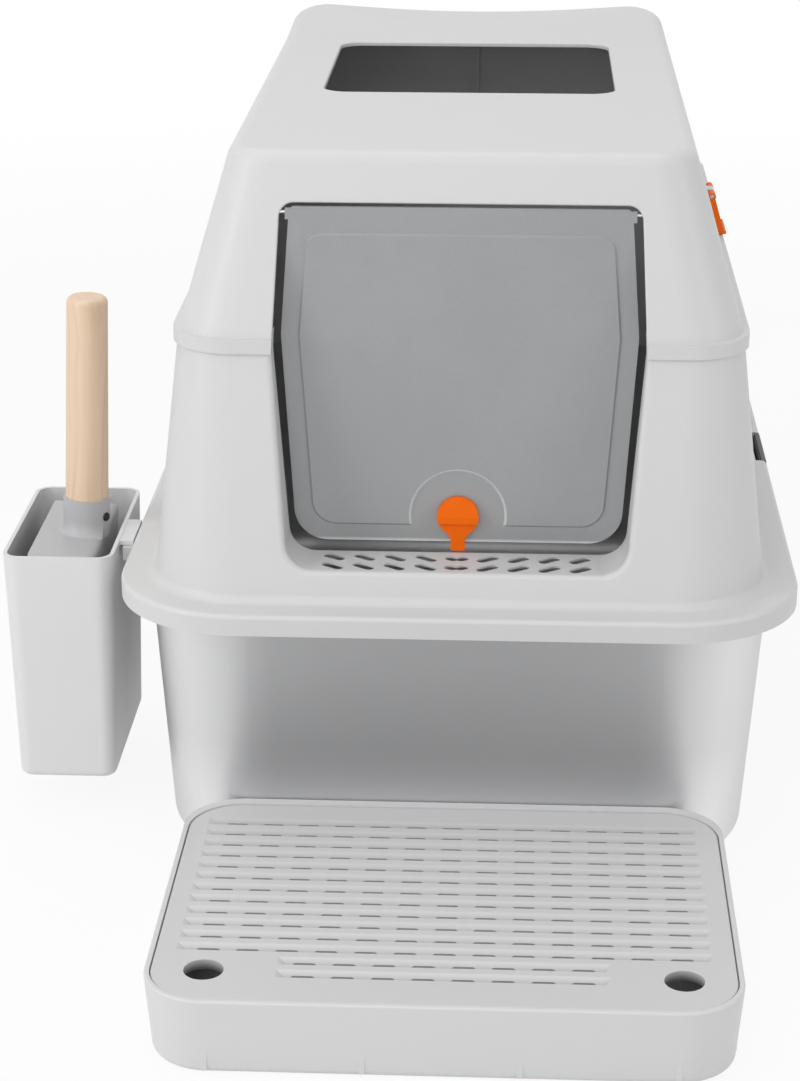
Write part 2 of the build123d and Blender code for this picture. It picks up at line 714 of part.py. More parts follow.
with BuildPart() as turn_button:
    with BuildSketch(Plane.XZ.offset(-button_back_y)):
        with Locations((0, button_z)):
            Circle(button_r)
    extrude(amount=button_base_t)
    # Thumb ridge: the upper half rises to the middle, runs flat and drops back below it
    with BuildSketch(Plane.YZ.offset(-button_r)):
        with BuildLine():
            Polyline(
                (button_back_y, button_z + button_r),
                (button_back_y - button_base_t, button_z + button_r),
                (button_back_y - button_t, button_z),
                (button_back_y - button_t, button_z - button_ridge_h),
                (button_back_y - button_base_t, ridge_foot_z),
                (button_back_y, ridge_foot_z),
                close=True,
            )
        make_face()
    extrude(amount=2 * button_r)
    with BuildSketch(Plane.XZ.offset(-button_back_y)):
        with Locations((0, button_z)):
            Circle(button_r)
    extrude(amount=2 * button_t, mode=Mode.INTERSECT)
    with BuildSketch(Plane.XZ.offset(-button_back_y)) as tail_sketch:
        with BuildLine():
            Polyline(
                (-button_neck_w / 2, button_z), (button_neck_w / 2, button_z),
                (button_neck_w / 2, button_z - button_r * 0.8),
                (button_tail_w / 2, button_z - button_r * 1.1),
                (button_tail_w / 2, button_tail_z), (-button_tail_w / 2, button_tail_z),
                (-button_tail_w / 2, button_z - button_r * 1.1),
                (-button_neck_w / 2, button_z - button_r * 0.8),
                close=True,
            )
        make_face()
        fillet(tail_sketch.vertices().group_by(Axis.Y)[0], 1)
    extrude(amount=button_tail_t)
    with Locations((0, button_back_y, button_z)):
        Cylinder(screw_shank_r + pin_clearance, 2 * (button_t - 1), rotation=(90, 0, 0),
                 mode=Mode.SUBTRACT)
turn_button.part.label = "turn_button"
export_step(turn_button.part, "parts/turn_button.step")

with BuildPart() as button_washer:
    with BuildSketch(Plane.XZ.offset(-flap_back_y)):
        with Locations((0, button_z)):
            Circle(washer_r)
            Circle(screw_shank_r + pin_clearance, mode=Mode.SUBTRACT)
    extrude(amount=-washer_t)
button_washer.part.label = "button_washer"
export_step(button_washer.part, "parts/button_washer.step")

with BuildPart() as button_screw:
    screw_seat_y = flap_back_y + washer_t
    with BuildSketch(Plane.XZ.offset(-screw_seat_y)):
        with Locations((0, button_z)):
            Circle(screw_head_r)
    extrude(amount=-screw_head_t)
    fillet(button_screw.faces().sort_by(Axis.Y)[-1].edges(), screw_head_t / 2)
    with BuildSketch(Plane.XZ.offset(-screw_seat_y)):
        with Locations((0, button_z)):
            Circle(screw_shank_r)
    extrude(amount=washer_t + flap_t + button_lift + button_t - 1 - seat_gap)
    # Cross recess in the head
    with Locations((0, screw_seat_y + screw_head_t, button_z)):
        Box(recess_l, recess_depth, recess_w, mode=Mode.SUBTRACT)
        Box(recess_w, recess_depth, recess_l, mode=Mode.SUBTRACT)
button_screw.part.label = "button_screw"
export_step(button_screw.part, "parts/button_screw.step")

# ---------------------------------------------------------------- side clasps of the hood
for side, side_name in ((-1, "left"), (1, "right")):
    with BuildPart() as side_clasp:
        foot_z = band_top + clasp_foot_gap
        foot_x = hood_side_x(foot_z) + clasp_wall_gap
        with BuildSketch(Plane.XZ.offset(-clasp_y)):
            with BuildLine():
                Polyline(
                    (side * foot_x, foot_z), (side * (foot_x + clasp_t), foot_z),
                    (side * (clasp_pivot_x + clasp_t - clasp_knuckle_r), clasp_pivot_z),
                    (side * (clasp_pivot_x - clasp_knuckle_r), clasp_pivot_z),
                    close=True,
                )
            make_face()
            with Locations((side * clasp_pivot_x, clasp_pivot_z)):
                Circle(clasp_knuckle_r)
            # Finger lip along the foot
            with Locations((side * (foot_x + clasp_t), foot_z + clasp_lip_r)):
                Circle(clasp_lip_r)
        extrude(amount=clasp_w / 2, both=True)
        with Locations((side * clasp_pivot_x, clasp_y, clasp_pivot_z)):
            Cylinder(clasp_pin_r + pin_clearance, clasp_w, rotation=(90, 0, 0),
                     mode=Mode.SUBTRACT)
            Box(clasp_cut, clasp_lug_w + 2 * swing_gap, clasp_cut, mode=Mode.SUBTRACT)
    side_clasp.part.label = "side_clasp_" + side_name
    export_step(side_clasp.part, "parts/side_clasp_" + side_name + ".step")

    with BuildPart() as clasp_pin:
        with Locations((side * clasp_pivot_x, clasp_y, clasp_pivot_z)):
            Cylinder(clasp_pin_r, clasp_pin_l, rotation=(90, 0, 0))
    clasp_pin.part.label = "clasp_pin_" + side_name
    export_step(clasp_pin.part, "parts/clasp_pin_" + side_name + ".step")

# ---------------------------------------------------------------- rim clips
clip_knuckle_r = 2 * clip_pin_r
clip_hook_z = flange_foot + seat_gap

for side, side_name in ((-1, "left"), (1, "right")):
    with BuildPart() as rim_clip:
        with BuildSketch(Plane.XZ.offset(-clip_y)):
            with BuildLine():
                Polyline(
                    (side * flange_side, flange_top - 1), (side * (flange_side - 1), flange_top),
                    (side * (flange_side - clip_t), flange_top),
                    (side * (flange_side - clip_t), clip_hook_z + clip_hook_t),
                    (side * (rim_w / 2 + clip_rim_gap), clip_hook_z + clip_hook_t),
                    (side * (rim_w / 2 + clip_rim_gap), clip_hook_z),
                    (side * flange_side, clip_hook_z),
                    close=True,
                )
            make_face()
            with Locations((side * clip_pivot_x, clip_pivot_z)):
                Circle(clip_knuckle_r)
        extrude(amount=clip_l / 2, both=True)
        with Locations((side * clip_pivot_x, clip_y, clip_pivot_z)):
            Cylinder(clip_pin_r + pin_clearance, clip_l, rotation=(90, 0, 0),
                     mode=Mode.SUBTRACT)
    rim_clip.part.label = "rim_clip_" + side_name
    export_step(rim_clip.part, "parts/rim_clip_" + side_name + ".step")

    with BuildPart() as clip_pin:
        with Locations((side * clip_pivot_x, clip_y, clip_pivot_z)):
            Cylinder(clip_pin_r, clip_pin_l, rotation=(90, 0, 0))
    clip_pin.part.label = "clip_pin_" + side_name
    export_step(clip_pin.part, "parts/clip_pin_" + side_name + ".step")

# ---------------------------------------------------------------- scoop holder
with BuildPart() as scoop_holder:
    with BuildSketch(Plane.XY.offset(holder_floor)):
        with Locations((holder_x, holder_y)):
            RectangleRounded(holder_w - 2 * holder_draft, holder_l - 2 * holder_draft,
                             holder_r - holder_draft / 2)
    with BuildSketch(Plane.XY.offset(holder_top)):
        with Locations((holder_x, holder_y)):
            RectangleRounded(holder_w, holder_l, holder_r)
    loft()
    fillet(scoop_holder.faces().sort_by(Axis.Z)[0].edges(), holder_foot_r)
    with BuildSketch(Plane.XY.offset(holder_floor + holder_wall)):
        with Locations((holder_x, holder_y)):
            RectangleRounded(holder_w - 2 * (holder_draft + holder_wall),
                             holder_l - 2 * (holder_draft + holder_wall),
                             holder_r - holder_draft / 2 - holder_wall)
    with BuildSketch(Plane.XY.offset(holder_top)):
        with Locations((holder_x, holder_y)):
            RectangleRounded(holder_w - 2 * holder_wall, holder_l - 2 * holder_wall,
                             holder_r - holder_wall)
    loft(mode=Mode.SUBTRACT)
    # Hook: a bridge over the lug and a tongue in its slot
    hook_mid_y = (hook_front_y + hook_back_y) / 2
    hook_w = hook_back_y - hook_front_y
    tongue_in_x = hook_slot_x + hook_tongue_t / 2
    with Locations((holder_x_in - holder_wall / 2, hook_mid_y, hook_top_z)):
        Box(tongue_in_x - holder_x_in + holder_wall / 2, hook_w, hook_t,
            align=(Align.MIN, Align.CENTER, Align.MAX))
    with Locations((tongue_in_x, hook_mid_y, hook_top_z)):
        Box(hook_tongue_t, hook_w, hook_t + hook_tongue_drop,
            align=(Align.MAX, Align.CENTER, Align.MAX))
scoop_holder.part.label = "scoop_holder"
export_step(scoop_holder.part, "parts/scoop_holder.step")

# ---------------------------------------------------------------- scoop
lean = radians(scoop_lean)
scoop_plane = Plane((scoop_x, scoop_y, scoop_seat_z), x_dir=(cos(lean), 0, -sin(lean)),
                    z_dir=(sin(lean), 0, cos(lean)))
head_top = -scoop_socket_h
head_foot = -(scoop_seat_z - holder_floor - holder_wall - scoop_floor_gap) / cos(lean)
screw_turn = radians(handle_screw_turn)
screw_out = scoop_plane.x_dir * sin(screw_turn) - scoop_plane.y_dir * cos(screw_turn)
screw_plane = Plane(scoop_plane.origin + scoop_plane.z_dir * (head_top / 2),
                    x_dir=scoop_plane.z_dir, z_dir=screw_out)
screw_tip = scoop_socket_r - handle_screw_l - seat_gap
lip_shift = scoop_shift + (scoop_head_depth - scoop_head_lip_depth) / 2

with BuildPart() as socket_flare:
    with BuildSketch(scoop_plane.offset(head_top - scoop_head_wall / 2)):
        Circle(scoop_socket_r + scoop_flare)
    with BuildSketch(scoop_plane.offset(head_top + scoop_flare_h / 3)):
        Circle(scoop_socket_r + scoop_flare / 4)
    with BuildSketch(scoop_plane.offset(head_top + scoop_flare_h)):
        Circle(scoop_socket_r)
    loft()
    # Cut off level with the head's side next to the box
    with BuildSketch(scoop_plane.offset(head_top - scoop_head_wall)):
        with Locations((scoop_shift + (scoop_head_depth + scoop_socket_r) / 2, 0)):
            Rectangle(scoop_socket_r, 4 * scoop_socket_r)
    extrude(amount=scoop_head_wall + scoop_flare_h, mode=Mode.SUBTRACT)

with BuildPart() as scoop_head:
    # Blade, side walls and top as one block, open to the left and at the lip
    with BuildSketch(scoop_plane.offset(head_foot)):
        with Locations((lip_shift, 0)):
            Rectangle(scoop_head_lip_depth, scoop_head_lip_w)
    with BuildSketch(scoop_plane.offset(head_top)):
        with Locations((scoop_shift, 0)):
            Rectangle(scoop_head_depth, scoop_head_w)
    loft()
    fillet(scoop_head.faces().sort_by(Axis.Z)[-1].edges().sort_by(Axis.X)[1:], scoop_head_r)
    hollow = 2 * scoop_head_wall
    with BuildSketch(scoop_plane.offset(head_foot)):
        with Locations((lip_shift - scoop_head_wall, 0)):
            Rectangle(scoop_head_lip_depth, scoop_head_lip_w - hollow)
    with BuildSketch(scoop_plane.offset(head_top - scoop_head_wall)):
        with Locations((scoop_shift - scoop_head_wall, 0)):
            Rectangle(scoop_head_depth, scoop_head_w - hollow)
    loft(mode=Mode.SUBTRACT)
    # Sifting slots through the blade
    with BuildSketch(scoop_plane.offset(head_foot + scoop_slot_foot)):
        with GridLocations(1, scoop_slot_pitch, 1, scoop_slots):
            with Locations((scoop_head_depth / 2, 0)):
                Rectangle(scoop_head_depth, scoop_slot_w)
    extrude(amount=head_top - head_foot - scoop_slot_foot - scoop_slot_top, mode=Mode.SUBTRACT)
    # Socket for the handle, flared onto the head
    add(socket_flare.part)
    with BuildSketch(scoop_plane.offset(head_top - scoop_head_wall)):
        Circle(scoop_socket_r)
    extrude(amount=scoop_socket_h + scoop_head_wall)
    with BuildSketch(scoop_plane.offset(-scoop_plug_l)):
        Circle(scoop_plug_r + scoop_plug_clearance)
    extrude(amount=scoop_plug_l, mode=Mode.SUBTRACT)
    with BuildSketch(screw_plane):
        Circle(handle_screw_r + pin_clearance)
    extrude(amount=2 * scoop_socket_r, mode=Mode.SUBTRACT)
scoop_head.part.label = "scoop_head"
export_step(scoop_head.part, "parts/scoop_head.step")

with BuildPart() as scoop_handle:
    with BuildSketch(scoop_plane):
        Circle(scoop_handle_r)
    with BuildSketch(scoop_plane.offset(scoop_handle_l)):
        Circle(scoop_handle_top_r)
    loft()
    fillet(scoop_handle.faces().sort_by(Axis.Z)[-1].edges(), scoop_handle_end_r)
    with BuildSketch(scoop_plane):
        Circle(scoop_plug_r)
    extrude(amount=-(scoop_plug_l - seat_gap))
    with BuildSketch(screw_plane.offset(screw_tip)):
        Circle(handle_screw_r + press_clearance)
    extrude(amount=scoop_plug_r, mode=Mode.SUBTRACT)
scoop_handle.part.label = "scoop_handle"
export_step(scoop_handle.part, "parts/scoop_handle.step")

with BuildPart() as handle_screw:
    with BuildSketch(screw_plane.offset(scoop_socket_r)):
        Circle(handle_screw_head_r)
    extrude(amount=handle_screw_head_t)
    fillet(handle_screw.edges().sort_by(Axis(screw_plane.origin, screw_out))[-1],
           handle_screw_head_t / 2)
    with BuildSketch(screw_plane.offset(scoop_socket_r)):
        Circle(handle_screw_r)
    extrude(amount=-handle_screw_l)
handle_screw.part.label = "handle_screw"
export_step(handle_screw.part, "parts/handle_screw.step")

# ---------------------------------------------------------------- step tray
with BuildPart() as tray_base:
    with BuildSketch():
        with Locations((0, tray_y)):
            RectangleRounded(tray_w - 2 * tray_draft, tray_l - 2 * tray_draft, tray_r - tray_draft)
    with BuildSketch(Plane.XY.offset(tray_h)):
        with Locations((0, tray_y)):
            RectangleRounded(tray_w, tray_l, tray_r)
    loft()
    fillet(tray_base.faces().sort_by(Axis.Z)[-1].edges(), tray_top_r)
    fillet(tray_base.faces().sort_by(Axis.Z)[0].edges(), tray_foot_r)
    with BuildSketch(Plane.XY.offset(tray_floor)):
        with Locations((0, tray_inner_y)):
            RectangleRounded(tray_inner_w - 2 * tray_draft, tray_inner_l - 2 * tray_draft,
                             tray_r - tray_wall - tray_draft)
    with BuildSketch(Plane.XY.offset(tray_h)):
        with Locations((0, tray_inner_y)):
            RectangleRounded(tray_inner_w, tray_inner_l, tray_r - tray_wall)
    loft(mode=Mode.SUBTRACT)
    # Ledges that carry the grate
    ledge_span_x = tray_inner_w + 2 * ledge_root - ledge_w
    ledge_span_y = tray_inner_l + 2 * ledge_root - ledge_w
    with BuildSketch(Plane.XY.offset(tray_floor)):
        with Locations((0, tray_inner_y)):
            with GridLocations(ledge_span_x, (tray_inner_l - 2 * tray_r) / 2, 2, 3):
                Rectangle(ledge_w, ledge_t)
            with GridLocations((tray_w - 2 * tray_r) / 3, ledge_span_y, 4, 2):
                Rectangle(ledge_t, ledge_w)
    extrude(amount=ledge_top - tray_floor)
tray_base.part.label = "tray_base"
export_step(tray_base.part, "parts/tray_base.step")

grate_w = tray_inner_w - 2 * grate_gap
grate_l = tray_inner_l - 2 * grate_gap
row_places = [tray_back_y - groove_first - row * groove_pitch for row in range(groove_rows)]
slot_up_slope = (slot_w - groove_root_w) / 2

with BuildPart() as long_groove:
    # Wedge with a long slope behind the slots and a steep step in front of them
    with BuildSketch(Plane.XY.offset(-groove_depth)):
        Rectangle(groove_long - 2 * groove_taper, groove_root_w)
    with BuildSketch():
        with Locations((0, (groove_slope_w - groove_step_w) / 2)):
            Rectangle(groove_long, groove_slope_w + groove_step_w)
    loft()

with BuildPart() as short_groove:
    with BuildSketch(Plane.XY.offset(-groove_depth)):
        Rectangle(groove_short - 2 * groove_taper, groove_root_w)
    with BuildSketch():
        with Locations((0, (groove_slope_w - groove_step_w) / 2)):
            Rectangle(groove_short, groove_slope_w + groove_step_w)
    loft()

with BuildPart() as tray_grate:
    with BuildSketch(Plane.XY.offset(grate_top - grate_t)):
        with Locations((0, tray_inner_y)):
            RectangleRounded(grate_w, grate_l, tray_r - tray_wall - grate_gap)
    extrude(amount=grate_t)
    fillet(tray_grate.faces().sort_by(Axis.Z)[-1].edges(), grate_edge_r)
    with Locations([(0, y, grate_top) for y in row_places[:groove_long_rows]]):
        add(long_groove.part, mode=Mode.SUBTRACT)
    with Locations([(0, y, grate_top) for y in row_places[groove_long_rows:]]):
        add(short_groove.part, mode=Mode.SUBTRACT)
    with BuildSketch(Plane.XY.offset(grate_top - grate_t)):
        for row, row_y in enumerate(row_places):
            slots = slots_long if row < groove_long_rows else slots_short
            with Locations((0, row_y + slot_up_slope)):
                with GridLocations(slot_pitch, 1, slots, 1):
                    SlotOverall(slot_l, slot_w)
    extrude(amount=grate_t, mode=Mode.SUBTRACT)
    # Finger holes in the front corners
    with BuildSketch(Plane.XY.offset(grate_top - grate_t)):
        with Locations((finger_x, tray_front_y + finger_from_front),
                       (-finger_x, tray_front_y + finger_from_front)):
            Circle(finger_r)
    extrude(amount=grate_t, mode=Mode.SUBTRACT)
tray_grate.part.label = "tray_grate"
export_step(tray_grate.part, "parts/tray_grate.step")
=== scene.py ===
"""Looks of the hooded litter box: finishes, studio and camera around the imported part.

Lengths are metres, +Z up, -Y towards the entry and the step tray.
"""
import json
import math

import bpy
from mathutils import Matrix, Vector

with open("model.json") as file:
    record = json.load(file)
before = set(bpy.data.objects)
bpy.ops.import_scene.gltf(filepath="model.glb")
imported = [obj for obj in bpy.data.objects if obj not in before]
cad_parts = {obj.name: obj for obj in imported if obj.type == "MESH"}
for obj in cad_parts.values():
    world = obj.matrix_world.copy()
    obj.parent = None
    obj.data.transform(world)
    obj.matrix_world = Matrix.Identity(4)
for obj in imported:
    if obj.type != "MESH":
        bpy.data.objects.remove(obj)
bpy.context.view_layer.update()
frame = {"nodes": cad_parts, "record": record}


# ---------------------------------------------------------------- node tools

class Wire:
    """An output socket that takes arithmetic: each expression on it adds a Math node."""

    def __init__(self, board, socket):
        self.board = board
        self.socket = socket

    def _math(self, operation, *values):
        return self.board.node("ShaderNodeMath", {"operation": operation}, dict(enumerate(values)))

    def __add__(self, other):
        return self._math("ADD", self, other)

    def __radd__(self, other):
        return self._math("ADD", other, self)

    def __sub__(self, other):
        return self._math("SUBTRACT", self, other)

    def __rsub__(self, other):
        return self._math("SUBTRACT", other, self)

    def __mul__(self, other):
        return self._math("MULTIPLY", self, other)

    def __rmul__(self, other):
        return self._math("MULTIPLY", other, self)

    def __truediv__(self, other):
        return self._math("DIVIDE", self, other)

    def __rtruediv__(self, other):
        return self._math("DIVIDE", other, self)

    def __pow__(self, other):
        return self._math("POWER", self, other)

    def __rpow__(self, other):
        return self._math("POWER", other, self)

    def clipped(self, low=0.0, high=1.0):
        """The value, held between low and high."""
        return self._math("MINIMUM", self._math("MAXIMUM", self, low), high)

    def fraction(self):
        """What is left of the value after its whole number."""
        return self._math("FRACT", self)


class Board:
    """A node tree in the making."""

    def __init__(self, tree):
        self.tree = tree
        self.tree.nodes.clear()

    def node(self, kind, settings=None, inputs=None, output=0):
        """Adds a node, sets its settings first (a ramp's are its stops), then its sockets."""
        made = self.tree.nodes.new(kind)
        for key, value in (settings or {}).items():
            if key == "stops":
                self._set_stops(made.color_ramp, value)
            else:
                setattr(made, key, value)
        for key, value in (inputs or {}).items():
            if isinstance(value, Wire):
                self.tree.links.new(value.socket, made.inputs[key])
            else:
                made.inputs[key].default_value = value
        return Wire(self, made.outputs[output]) if made.outputs else made

    @staticmethod
    def _set_stops(ramp, stops):
        while len(ramp.elements) < len(stops):
            ramp.elements.new(0.5)
        for element, (position, colour) in zip(ramp.elements, stops):
            element.position = position
            element.color = colour

    def axes(self, vector):
        """The X, Y and Z of a vector."""
        parts = self.node("ShaderNodeSeparateXYZ", None, {"Vector": vector})
        return [Wire(self, socket) for socket in parts.socket.node.outputs]

    def in_view(self):
        """1 on rays from the camera, a mirror or through a clear piece, 0 on rays that only light."""
        rays = self.node("ShaderNodeLightPath").socket.node.outputs
        direct = Wire(self, rays["Is Camera Ray"])
        mirrored = Wire(self, rays["Is Glossy Ray"])
        through = Wire(self, rays["Is Transmission Ray"])
        return (direct + mirrored + through).clipped()


class Finish(Board):
    """A material in the making, with the object's own coordinates to work on."""

    def __init__(self, name):
        self.material = bpy.data.materials.new(name)
        self.material.use_nodes = True
        super().__init__(self.material.node_tree)
        self.place = self.node("ShaderNodeTexCoord", output="Object")

    def centred(self, location, rotation):
        """The object's coordinates, seen from another place and lean."""
        sockets = {"Vector": self.place, "Location": location, "Rotation": rotation}
        return self.node("ShaderNodeMapping", {"vector_type": "TEXTURE"}, sockets)

    def stretched(self, vector, scale):
        """Coordinates, each multiplied by its own number."""
        return self.node("ShaderNodeMapping", None, {"Vector": vector, "Scale": scale})

    def noise(self, vector, scale, detail, roughness=0.5):
        """Fractal noise from 0 to 1, about 0.5."""
        sockets = {"Vector": vector, "Scale": scale, "Detail": detail, "Roughness": roughness}
        return self.node("ShaderNodeTexNoise", None, sockets)

    def mix(self, factor, first, second):
        """A colour between two colours."""
        return self.node("ShaderNodeMix", {"data_type": "RGBA"}, {0: factor, 6: first, 7: second}, 2)

    def bump(self, height, distance, **under):
        """A normal bent by a height; under may hold the Normal that it starts from."""
        sockets = {"Height": height, "Distance": distance, "Strength": 1.0, **under}
        return self.node("ShaderNodeBump", None, sockets)

    def done(self, **sockets):
        """Ends the material in a Principled BSDF; an underscore stands for a space in a socket's name."""
        named = {key.replace("_", " "): value for key, value in sockets.items()}
        shader = self.node("ShaderNodeBsdfPrincipled", None, named)
        self.node("ShaderNodeOutputMaterial", None, {"Surface": shader})
        return self.material


def srgb(red, green, blue):
    """A colour given as 0 to 255 per channel, in linear light."""
    channels = []
    for value in (red, green, blue):
        level = value / 255
        channels.append(level / 12.92 if level <= 0.04045 else ((level + 0.055) / 1.055) ** 2.4)
    return (*channels, 1.0)


def shaded(tone, share):
    """A colour made darker or lighter by a share, up to white."""
    return (*(min(1.0, channel * share) for channel in tone[:3]), 1.0)


def corners(node):
    """The lowest and highest corner of a node's own mesh."""
    places = [vertex.co for vertex in frame["nodes"][node].data.vertices]
    low = Vector([min(place[axis] for place in places) for axis in range(3)])
    high = Vector([max(place[axis] for place in places) for axis in range(3)])
    return low, high


# ---------------------------------------------------------------- finishes

# Moulded plastic: how many pits, waves and clouds of each kind fit in a metre
SKIN_PITS = 1400
SHRINK_WAVES = 22
TONE_CLOUDS = 9
RUB_STRETCH = (60, 60, 9)
SHADE_SPECKS = 900
WAVE_DEPTH = 0.00012
FINE_SKIN = 0.00001
COARSE_SKIN = 0.00003


def moulded_plastic(name, tone, gloss, texture=FINE_SKIN, tint=0.02, specular=0.5, groove_shade=None):
    """Moulded plastic: a spark-eroded skin of fine pits, slow waves of shrinkage, faint handling marks.
    The last argument is (top height, depth, colour): below that height a speckled painted shade darkens the
    plastic, standing in for the shade in grooves."""
    f = Finish(name)
    skin = f.noise(f.place, SKIN_PITS, 3.0, 0.6)
    wave = f.noise(f.place, SHRINK_WAVES, 1.0)
    cloud = f.noise(f.place, TONE_CLOUDS, 3.0, 0.55)
    rubs = f.noise(f.stretched(f.place, RUB_STRETCH), 1.0, 4.0, 0.65)
    shade = ((cloud - 0.5) * tint * 2 + 0.5).clipped()
    colour = f.mix(shade, shaded(tone, 1 - tint), shaded(tone, 1 + tint))
    # Painted shade: below a height the colour turns darker, with specks, where grooves and slots are
    # shaded.
    if groove_shade:
        top, depth, shade_colour = groove_shade
        height = f.axes(f.place)[2]
        speckle = f.noise(f.place, SHADE_SPECKS, 3.0, 0.7)
        painted_shade = ((top - height) / depth).clipped() * (0.75 + speckle * 0.5)
        colour = f.mix(painted_shade.clipped(), colour, shade_colour)
    rough = (gloss + (rubs - 0.5) * 0.06 + (skin - 0.5) * 0.05).clipped(0.05, 1.0)
    normal = f.bump(wave, WAVE_DEPTH, Normal=f.bump(skin, texture))
    return f.done(Base_Color=colour, Roughness=rough, Normal=normal, Specular_IOR_Level=specular)


# Pan: distances from its middle between which the painted reflection turns paler, and the height where the
# painted reflection at the foot starts
REFLECTION_X = (0.115, 0.185)
REFLECTION_Y = (0.22, 0.28)
FOOT_REFLECTION_TOP = 0.085
FOOT_REFLECTION_SHARE = 0.6
STROKE_STRETCH = (30, 30, 2600)
STROKE_DEPTH = 0.000002
SMEARS = 6


def brushed_pan_steel(name):
    """Satin stainless sheet: short level brush strokes in the roughness and the skin, a slow drift in tone,
    and on the two end walls a painted reflection that turns paler towards the corners and the foot."""
    f = Finish(name)
    strokes = f.noise(f.stretched(f.place, STROKE_STRETCH), 1.0, 4.0, 0.6)
    smear = f.noise(f.place, SMEARS, 3.0)
    tone = ((strokes - 0.5) * 0.16 + (smear - 0.5) * 0.12 + 0.5).clipped()
    colour = f.mix(tone, srgb(176, 177, 178), srgb(190, 190, 191))
    x, y, z = f.axes(f.place)

    def outward(distance, limits):
        """0 up to the first limit from the middle, 1 past the second, by squares between them."""
        near, far = limits
        return ((distance * distance - near ** 2) / (far ** 2 - near ** 2)).clipped()

    # Painted reflection: the end walls turn paler towards the corners and towards the foot.
    foot = ((FOOT_REFLECTION_TOP - z) / FOOT_REFLECTION_TOP).clipped() * FOOT_REFLECTION_SHARE
    painted_reflection = (outward(x, REFLECTION_X) + foot).clipped() * outward(y, REFLECTION_Y)
    colour = f.mix(painted_reflection, colour, srgb(228, 228, 229))
    rough = (0.44 + (strokes - 0.5) * 0.06 + (smear - 0.5) * 0.04).clipped(0.12, 0.7)
    return f.done(Base_Color=colour, Metallic=1.0, Roughness=rough, Normal=f.bump(strokes, STROKE_DEPTH))


SCRATCH_STRETCH = (240, 240, 1500)
SCRATCH_DEPTH = 0.00001


def turned_steel(name, tone, roughness):
    """Small turned steel: fine scratches all over."""
    f = Finish(name)
    scratches = f.noise(f.stretched(f.place, SCRATCH_STRETCH), 1.0, 4.0, 0.6)
    colour = f.mix(scratches, shaded(tone, 0.82), tone)
    rough = (roughness + (scratches - 0.5) * 0.2).clipped(0.08, 0.9)
    normal = f.bump(scratches, SCRATCH_DEPTH)
    return f.done(Base_Color=colour, Metallic=1.0, Roughness=rough, Normal=normal)


# Flap: painted highlights, pale lines in the arch's step round the turn button and along the bottom edge
ARCH_RADIUS = 0.0298
ARCH_HIGHLIGHT_WIDTH = 0.0011
ARCH_FOOT_DROP = 0.0073     # from the button's middle down to the ends of the arch
ARCH_HIGHLIGHT_FADE = 0.002
EDGE_HIGHLIGHT_WIDTH = 0.0022
FROST_GRAINS = 2200
FROST_CLOUDS = 11
FROST_DEPTH = 0.00002


def frosted_flap(name):
    """Smoky, frosted, see-through plastic with a fine grained skin and painted highlights: pale lines in
    the step of the arch over the turn button and along the bottom edge."""
    button_low, button_high = corners("turn_button")
    arch_middle_z = button_high.z - (button_high.x - button_low.x) / 2
    arch_foot_z = arch_middle_z - ARCH_FOOT_DROP
    flap_foot_z = corners("flap_panel")[0].z

    f = Finish(name)
    grain = f.noise(f.place, FROST_GRAINS, 2.0, 0.6)
    cloud = f.noise(f.place, FROST_CLOUDS, 3.0)
    colour = f.mix(cloud, srgb(163, 165, 166), srgb(174, 175, 177))
    x, _, z = f.axes(f.place)
    # Painted highlights: a pale line along the arch round the turn button and one along the bottom edge.
    off_arch = (x * x + (z - arch_middle_z) ** 2.0) ** 0.5 - ARCH_RADIUS
    over_foot = ((z - arch_foot_z) / ARCH_HIGHLIGHT_FADE).clipped()
    arch_highlight = (1.0 - off_arch * off_arch / ARCH_HIGHLIGHT_WIDTH ** 2).clipped() * over_foot
    edge_highlight = (1.0 - (z - flap_foot_z) / EDGE_HIGHLIGHT_WIDTH).clipped()
    colour = f.mix((arch_highlight * 0.7 + edge_highlight).clipped(), colour, srgb(236, 236, 236))
    rough = (0.27 + (cloud - 0.5) * 0.08 + (grain - 0.5) * 0.08).clipped(0.1, 0.9)
    dense = (0.86 + (cloud - 0.5) * 0.04).clipped(0.5, 1.0)
    normal = f.bump(grain, FROST_DEPTH)
    return f.done(Base_Color=colour, Roughness=rough, Alpha=dense, Normal=normal, IOR=1.49)


# Handle: a point on its axis, its lean, and the plank that it was turned from
HANDLE_AXIS = (-0.2497, -0.1615, 0.206)
HANDLE_LEAN = (0.0, math.radians(2.4), 0.0)
PITH_X = -0.012
PITH_Y = 0.055
GRAIN_SLOPE = 0.11
RINGS_PER_M = 230
GRAIN_DEPTH = 0.00004
WOOD_STOPS = [
    (0.0, srgb(238, 214, 188)),
    (0.4, srgb(231, 203, 173)),
    (0.75, srgb(217, 184, 150)),
    (1.0, srgb(199, 162, 127)),
]


